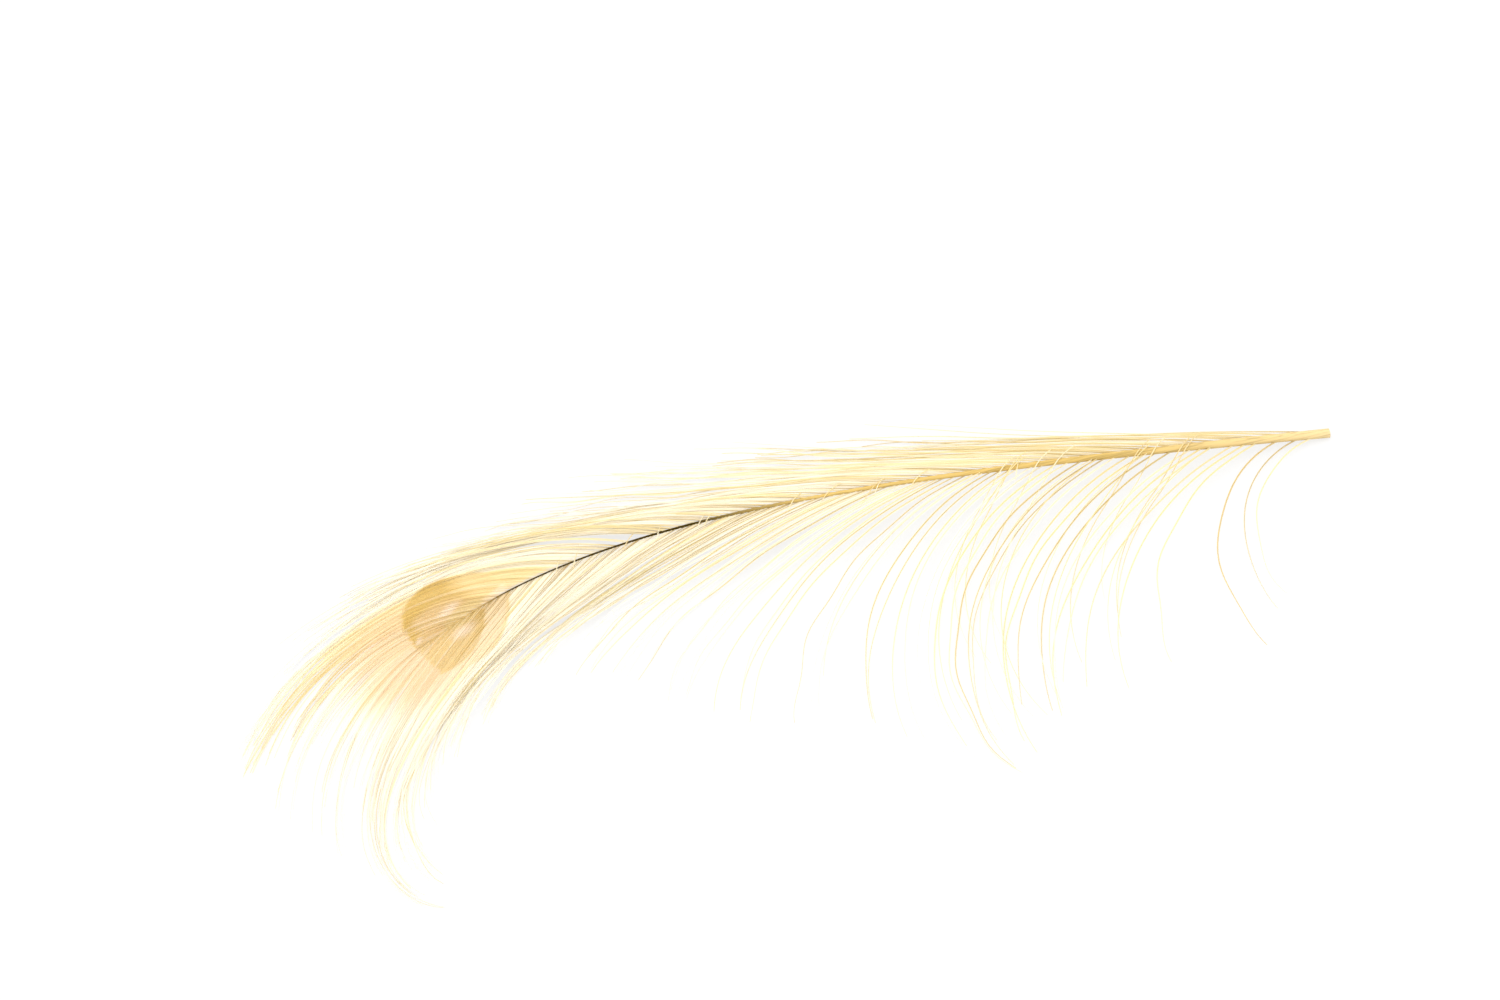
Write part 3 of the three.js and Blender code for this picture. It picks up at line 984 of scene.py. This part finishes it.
class FEATHER_OT_eye_barbs(bpy.types.Operator):
    """Grows the dense barbs of the eye and its fringe, on both sides of the shaft"""

    bl_idname = "feather.eye_barbs"
    bl_label = "Eye Barbs"

    def execute(self, context):
        barbs = context.scene.feather_barbs
        for vane in VANES:
            rng = np.random.default_rng(vane.seed + EYE_SEED)
            places = np.linspace(EYE_FROM, EYE_TO, barbs.eye_barbs)
            count = len(places)
            places[1:-1] += rng.uniform(-EYE_JITTER, EYE_JITTER, count - 2) * (places[1] - places[0])
            short = np.where(rng.random(count) < SHORT_SHARE, rng.uniform(*SHORT_BY, count), 0)
            short = short * lerp(SHORT_LEAST, 1, smooth_step(places, *SHORT_PLACES))
            paths = grow(vane, places, rng, short, **EYE_GROWTH)
            along = np.linspace(0, 1, paths.shape[1])
            held = vane.bundled(places)
            spread = np.interp(along, EYE_ALONG, EYE_PROFILE)
            gathered = np.interp(along, EYE_ALONG, BUNDLE_PROFILE)
            barbule = barbs.eye_barbule * np.where(held[:, None], gathered, spread)
            stems = barbs.stem * np.where(held, BUNDLE_STEM, 1)
            tints = vane.tints(places, rng)
            name = vane.name + "_eye_barbs"
            mesh = barb_mesh(name, to_frame(paths), stems, barbule, EYE_TEETH, EYE_LEAN, tints)
            piece = new_object(name, mesh, barb_material(context.scene))
            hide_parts(vane.name + "_vane")
        return {"FINISHED"}


def lone_barb(side, place, shape):
    """A barb of a given length, angles and lateness, on one side of a place on the shaft."""
    along = np.linspace(0, 1, STRAY_STEPS + 1)
    straight = np.zeros(len(along))
    vane = Vane("lone", side, [(0, *shape), (1, *shape)], (0, 1), LEFT_GOLD, STRAY_SEED)
    points, _ = barb_points(vane, np.full(len(along), place), along, straight, straight, straight)
    return points


class FEATHER_OT_strays(bpy.types.Operator):
    """Grows the barbs that left their locks, and the ones that lie across the shaft"""

    bl_idname = "feather.strays"
    bl_label = "Strays"

    def execute(self, context):
        barbs = context.scene.feather_barbs
        rng = np.random.default_rng(STRAY_SEED)
        along = np.linspace(0, 1, STRAY_STEPS + 1)
        paths = self.strays(rng, along) + self.crossings(rng, along) + self.long_crossings(rng, along)
        paths = to_frame(np.array(paths))
        barbule = barbs.loose_barbule * STRAY_BARBULE * np.interp(along, STRAY_ALONG, STRAY_PROFILE)
        barbule = np.broadcast_to(barbule, (len(paths), len(along)))
        tints = rng.uniform(*STRAY_TINTS, len(paths))
        mesh = barb_mesh(
            "stray_barbs", paths, barbs.stem * STRAY_STEM, barbule, STRAY_TEETH, LOOSE_LEAN, tints,
            darkest=STRAY_DARKEST,
        )
        new_object("stray_barbs", mesh, barb_material(context.scene))
        return {"FINISHED"}

    def strays(self, rng, along):
        shapes = []
        for _ in range(STRAYS):
            vane = VANES[rng.integers(2)]
            place = rng.uniform(*STRAY_PLACES)
            length, root, point, late = (float(v) for v in vane.barb(place))
            turn = rng.uniform(*STRAY_TURN[vane.side])
            shape = (length * STRAY_LENGTH, root + turn / STRAY_ROOT_PART, point + turn, late)
            shapes.append((vane.side, place, shape))
        for _ in range(EYE_STRAYS):
            vane, place = VANES[1], rng.uniform(*EYE_STRAY_PLACES)
            length, root, point, late = (float(v) for v in vane.barb(place))
            turn = rng.uniform(*EYE_STRAY_TURN)
            length = length * rng.uniform(*EYE_STRAY_LENGTH)
            shape = (length, root + turn / EYE_STRAY_ROOT_PART, point + turn, late)
            shapes.append((vane.side, place, shape))
        paths = [lone_barb(*shape) for shape in shapes]
        for points in paths:
            points[:, 2] += VANE_THICKNESS + STRAY_ARCH * np.sin(np.pi * along)
        return paths

    def crossings(self, rng, along):
        paths = []
        for place in np.sort(rng.uniform(*CROSSING_PLACES, CROSSINGS)):
            forward = rng.uniform(*CROSSING_RUN) * along
            across = lerp(-rng.uniform(*CROSSING_START), rng.uniform(*CROSSING_END), along**CROSSING_BEND)
            left = to_left(shaft_ahead(place + forward))
            points = shaft_point(place + forward) + left * across[:, None]
            height = shaft_width(place) / 2 + CROSSING_HEIGHT
            points[:, 2] += height * np.exp(-((across / CROSSING_SPAN) ** 2))
            paths.append(points)
        return paths

    def long_crossings(self, rng, along):
        paths = []
        for place in rng.uniform(*LONG_PLACES, LONG_CROSSINGS):
            length, root, point, late = (float(v) for v in VANES[0].barb(place))
            turn = rng.uniform(*LONG_TURN)
            shape = (length * rng.uniform(*LONG_LENGTH), root + LONG_ROOT_TURN, point + turn, late)
            points = lone_barb(1, place, shape)
            left = to_left(shaft_ahead(np.full(len(along), place)))
            start = rng.uniform(*LONG_START) * (1 - smooth_step(along, 0, LONG_SETTLED))
            across = ((points - shaft_point(place)) * left).sum(-1) - start
            points -= left * start[:, None]
            height = shaft_width(place) / 2 + LONG_HEIGHT
            points[:, 2] += VANE_THICKNESS + height * np.exp(-((across / LONG_SPAN) ** 2))
            paths.append(points)
        return paths


class FEATHER_PT_panel(bpy.types.Panel):
    """Lists what the feather is made of"""

    bl_idname = "FEATHER_PT_panel"
    bl_label = "Peacock Feather"
    bl_space_type = "VIEW_3D"
    bl_region_type = "UI"
    bl_category = "Feather"

    def draw(self, context):
        for operator in OPERATORS:
            self.layout.operator(operator.bl_idname)


SETTINGS = {
    "feather_quill": QuillSettings,
    "feather_barbs": BarbSettings,
    "feather_eye": EyeSettings,
    "feather_stage": StageSettings,
}
OPERATORS = (
    FEATHER_OT_stage, FEATHER_OT_quill, FEATHER_OT_loose_barbs, FEATHER_OT_eye_barbs, FEATHER_OT_strays
)


def register():
    for name, group in SETTINGS.items():
        bpy.utils.register_class(group)
        setattr(bpy.types.Scene, name, bpy.props.PointerProperty(type=group))
    for operator in OPERATORS:
        bpy.utils.register_class(operator)
    bpy.utils.register_class(FEATHER_PT_panel)


def unregister():
    bpy.utils.unregister_class(FEATHER_PT_panel)
    for operator in reversed(OPERATORS):
        bpy.utils.unregister_class(operator)
    for name, group in reversed(SETTINGS.items()):
        delattr(bpy.types.Scene, name)
        bpy.utils.unregister_class(group)


def main():
    register()
    bpy.ops.feather.stage()
    bpy.ops.feather.quill()
    bpy.ops.feather.loose_barbs()
    bpy.ops.feather.eye_barbs()
    bpy.ops.feather.strays()


if __name__ == "__main__":
    main()
